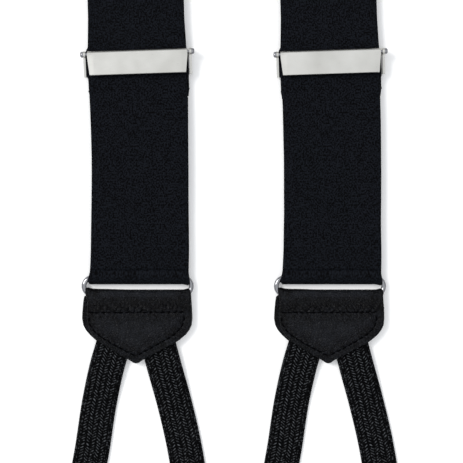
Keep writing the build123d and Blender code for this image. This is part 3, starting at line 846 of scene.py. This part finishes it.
# ---------------------------------------------------------------- braid
def braid_relief(u, v, half, columns):
    """How far a flat braid's strands stand up, 0 to 1: slanted strands in columns, between two
    cords at each edge."""
    edge = 1.8
    field = 2 * (half - edge)
    column = field / columns
    place_in = (u + half - edge) / column
    index = np.floor(place_in)
    w = place_in - index
    way = np.where(index % 2 == 0, 1.0, -1.0)
    phase = v / 1.15 + way * w * 1.2 + 0.5 * (index % 2)
    phase = phase + 0.12 * np.sin(v / 2.7 + index * 2.1) + 0.1 * np.sin(v / 0.83 + index)
    strand = np.abs(np.sin(math.pi * phase)) ** 1.8
    hill = np.clip(np.sin(math.pi * np.clip(w, 0, 1)), 0, 1) ** 0.42
    field_rise = strand * hill
    off = (np.abs(u) - (half - edge)) / 0.9
    cord = off - np.floor(off)
    cord_rise = np.sqrt(np.clip(1 - (2 * cord - 1) ** 2, 0, 1))
    cord_rise = cord_rise * (0.86 + 0.14 * np.sin(2 * math.pi * (v / 0.95 + cord * 0.6)))
    return np.where(np.abs(u) > half - edge, 0.7 * cord_rise, field_rise)


def braid_strip(line, z, half, columns, thick):
    """A flat braid along a line of (x, y) points."""
    ahead = directions(line)
    side = np.stack([-ahead[:, 1], ahead[:, 0]], axis=1)
    run = np.concatenate([[0], np.cumsum(np.linalg.norm(np.diff(line, axis=0), axis=1))])
    nominal = float(np.max(half))
    count = int(round(2 * nominal / 0.24))
    share = np.linspace(-1, 1, count)
    share = np.sign(share) * np.abs(share) ** 0.97
    u = share[None, :] * half[:, None]
    v = np.broadcast_to(run[:, None], u.shape)
    rim = np.clip(1 - np.abs(share) ** 9, 0, 1) ** 0.5
    relief = braid_relief(share[None, :] * nominal + 0 * u, v, nominal, columns)
    depth = 0.4
    height = rim[None, :] * (thick / 2 - depth + depth * relief)
    over = np.empty((*u.shape, 3))
    over[..., :2] = line[:, None, :] + side[:, None, :] * u[..., None]
    over[..., 2] = z[:, None] + height
    under = over.copy()
    under[..., 2] = z[:, None] - height
    points = np.concatenate([over, under[:, ::-1]], axis=1)
    lay = np.stack([u, v, relief], axis=-1)
    lay = np.concatenate([lay, lay[:, ::-1]], axis=1)
    return points, lay


def resample(points, step):
    """A smooth line through (x, y) points, as points that are step apart."""
    points = np.array(points, float)
    rough = np.concatenate([[0], np.cumsum(np.hypot(*np.diff(points, axis=0).T))])
    fine = np.linspace(0, rough[-1], 600)
    line = np.column_stack([curve(list(zip(rough, points[:, k])), fine) for k in (0, 1)])
    run = np.concatenate([[0], np.cumsum(np.hypot(*np.diff(line, axis=0).T))])
    at = np.linspace(0, run[-1], max(3, int(round(run[-1] / step))))
    return np.column_stack([np.interp(at, run, line[:, k]) for k in (0, 1)])


def braid(name, node, place, body, leg, end_x):
    """A tab: the flat braid, and the loop for the button that its two halves make."""
    line = resample([(x, y) for y, x in leg], BRAID_STEP)
    z = RING_Z + (0.9 - RING_Z) * smooth(-line[:, 1], 29, 47)
    half = np.full(len(line), BRAID_HALF) - 0.15 * smooth(-line[:, 1], 70, 105)
    points, lay = braid_strip(line, z, half, 5, 1.8)
    way = 1 if end_x > 0 else -1
    limb = [
        (-3.4, -105.0), (-3.7, -109.5), (-5.6, -114.0), (-6.75, -119.0), (-6.9, -124.0),
        (-6.1, -130.0), (-3.9, -134.9), (0, -137.0),
    ]
    loop = limb + [(-x, y) for x, y in limb[-2::-1]]
    round_line = resample([(way * x + end_x, y) for x, y in loop], BRAID_STEP)
    most = np.full(len(round_line), 3.1)
    lower, low_lay = braid_strip(round_line, np.full(len(round_line), 0.88), most, 1, 1.7)
    faces = tube_faces(points.shape[0], points.shape[1])
    start = points.shape[0] * points.shape[1]
    faces += [tuple(start + i for i in f) for f in tube_faces(lower.shape[0], lower.shape[1])]
    everything = np.concatenate([points.reshape(-1, 3), lower.reshape(-1, 3)])
    lays = np.concatenate([lay.reshape(-1, 3), low_lay.reshape(-1, 3)])
    piece = solid(name, place(everything), faces, "braid", lays * MM)
    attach(piece, body)
    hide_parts(node)


def loop_tacks(prefix, place, body):
    """A thick bar of thread across each tab's neck."""
    ends = []
    for end_x in (-TAB_X, TAB_X):
        for k in range(27):
            x = end_x - 5.3 + 10.6 * k / 26
            sway = rng.uniform(-0.12, 0.12)
            ends.append(((x, -108.1, 2.02), (x + sway, -105.9, 2.02)))
        for y in (-107.5, -106.5):
            ends.append(((end_x - 5.4, y, 1.84), (end_x + 5.4, y, 1.84)))
    piece = capsules(f"{prefix}_loop_tacks_thread", place, ends, 0.24)
    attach(piece, body)
    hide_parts(f"{prefix}_loop_tacks")


# ---------------------------------------------------------------- back patch
PATCH_ROWS = [
    [(-40.0, -26.0), (0, -20.8), (40.0, -26.0)],
    [(-38.6, -22.0), (-31.6, -6.0), (-25.2, 10.0), (-19.4, 26.0)],
    [(38.6, -22.0), (31.6, -6.0), (25.2, 10.0), (19.4, 26.0)],
    [(-17.4, 26.6), (17.4, 26.6)],
    [(-26.0, 1.0), (26.0, 1.0)],
]


def patch_leather(name, node, upper):
    """One leather of the back patch. The upper one is moulded over the straps and its seams."""
    rows, cols = edge_share(120, 60.0), edge_share(150, 92.0)
    v, t = np.meshgrid(rows, 2 * cols - 1, indexing="ij")
    wide = 46 - 28 * v + 4 * v * v
    x = t * wide
    y = -30 + 60 * v + 6 * (1 - np.sqrt(t * t + 0.0004)) * (1 - v) ** 2
    z = np.full_like(x, 0.5)
    if upper:
        foot = np.interp(y, [-30, 0], [21.2, 17.6])
        cover = 1 - smooth(np.abs(np.abs(x) - foot), 19.0, 22.5)
        cover = cover * (1 - smooth(y, -13.5, -9.5))
        head = (1 - smooth(np.abs(x), 18.8, 22.0)) * smooth(y, -3.0, 2.0)
        z = 1.62 + 1.08 * np.maximum(cover, head)
        for run in PATCH_ROWS:
            z = z - 0.2 * np.exp(-((distance_from([run], x, y) / 0.6) ** 2))
    lay = np.stack([x, y, 0 * x + 0.5], axis=-1)
    piece = grid_leather(name, at_patch, x, y, z, lay)
    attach(piece, "harness")
    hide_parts(node)
    return x, y, z


# ---------------------------------------------------------------- build
SEEDS = {"left": 11, "right": 12, "back": 23}  # for each leather end's puckers
for side in ("left", "right"):
    shoulder_strap(side)
    front_run(side)
    webbing_turn(side)
    rear_run(side)
    sewn_end(side)
    row_stitches(
        f"{side}_end_thread", f"{side}_end_stitching", at_pin[side],
        [[(-17.5, -12.2), (17.5, -12.2)]], lambda x, y: 2.06 + 0 * x, f"{side}_adjuster",
    )
    ends = f"{side}_leather_end"
    seed = SEEDS[side]
    kip(f"{side}_kip_leather", f"{side}_kip", at_ring[side], ends, RING_SHIFT, seed)
    kip_stitches(side, at_ring[side], ends, seed)
    outer, inner = f"{side}_outer_braid", f"{side}_inner_braid"
    left_tab, right_tab = (outer, inner) if side == "left" else (inner, outer)
    braid(left_tab + "_cord", left_tab, at_ring[side], ends, LEFT_LEG, -TAB_X)
    braid(right_tab + "_cord", right_tab, at_ring[side], ends, RIGHT_LEG, TAB_X)
    loop_tacks(side, at_ring[side], ends)

back_strap_web()
row_stitches(
    "back_strap_thread", "back_strap_stitching", at_back,
    [[(-17, 29.5), (17, 29.5)], [(-17, 32.0), (17, 32.0)]], lambda x, y: 2.12 + 0 * x, "harness",
)
kip("back_kip_leather", "back_kip", at_back, "back_leather_end", 0.0, SEEDS["back"])
kip_stitches("back", at_back, "back_leather_end", SEEDS["back"])
braid("back_left_braid_cord", "back_left_braid", at_back, "back_leather_end", RIGHT_LEG, TAB_X)
braid("back_right_braid_cord", "back_right_braid", at_back, "back_leather_end", LEFT_LEG, -TAB_X)
loop_tacks("back", at_back, "back_leather_end")
patch_leather("patch_under_leather", "patch_under", False)
patch_x, patch_y, patch_z = patch_leather("patch_top_leather", "patch_top", True)


def patch_top_at(x, y):
    """Height of thread on the patch's upper leather."""
    nearest = np.argmin((patch_x - x) ** 2 + (patch_y - y) ** 2)
    return patch_z.ravel()[nearest] + OVER_LEATHER


row_stitches("patch_thread", "patch_stitching", at_patch, PATCH_ROWS, patch_top_at, "harness")

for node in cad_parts.values():
    for part in node.material_slots:
        for key in ("silver", "wire"):
            if part.material and part.material.name.startswith(key):
                part.material = MATERIALS[key]

# ---------------------------------------------------------------- floor, light and camera
bpy.ops.mesh.primitive_plane_add(size=60, location=(0, 0, -0.0001))
floor = bpy.context.object
floor.name = "floor"
ground = Graph("floor", (0.9, 0.9, 0.9, 1), 1.0, spec=0.0)
ground.set(Emission_Color=(0.98, 0.985, 1.0, 1), Emission_Strength=0.2)
floor.data.materials.append(ground.material)

scene = bpy.context.scene
world = bpy.data.worlds.new("world")
scene.world = world
world.use_nodes = True
sky = world.node_tree.nodes
links = world.node_tree.links
look = sky.new("ShaderNodeTexCoord")
parts = sky.new("ShaderNodeSeparateXYZ")
height = sky.new("ShaderNodeMapRange")
height.interpolation_type = "SMOOTHSTEP"
height.inputs["From Min"].default_value = 0.12
height.inputs["From Max"].default_value = 0.75
height.inputs["To Min"].default_value = 0.12  # dark towards the horizon
height.inputs["To Max"].default_value = 1.0
links.new(look.outputs["Generated"], parts.inputs[0])
links.new(parts.outputs["Z"], height.inputs["Value"])
links.new(height.outputs["Result"], sky["Background"].inputs["Strength"])
sky["Background"].inputs["Color"].default_value = (0.955, 0.975, 1.0, 1)

sun = bpy.data.lights.new("key", "SUN")
sun.energy = 1.5
sun.angle = math.radians(22)
sun.color = (1.0, 0.985, 0.96)
key = bpy.data.objects.new("key", sun)
key.rotation_euler = Vector((0.62, -0.3, -0.85)).to_track_quat("-Z", "Y").to_euler()
bpy.context.collection.objects.link(key)

EYE_HEIGHT = 0.75
SEEN_WIDTH = 0.1801  # of the ground, from edge to edge of the view
camera = bpy.data.cameras.new("camera")
camera.sensor_width = 36
camera.lens = camera.sensor_width * EYE_HEIGHT / SEEN_WIDTH
camera.clip_start = 0.05
camera.clip_end = 100
eye = bpy.data.objects.new("camera", camera)
eye.location = (-0.00062, -0.3738, EYE_HEIGHT)
bpy.context.collection.objects.link(eye)
scene.camera = eye
scene.view_settings.view_transform = "Standard"
scene.view_settings.look = "None"
scene.cycles.use_denoising = True
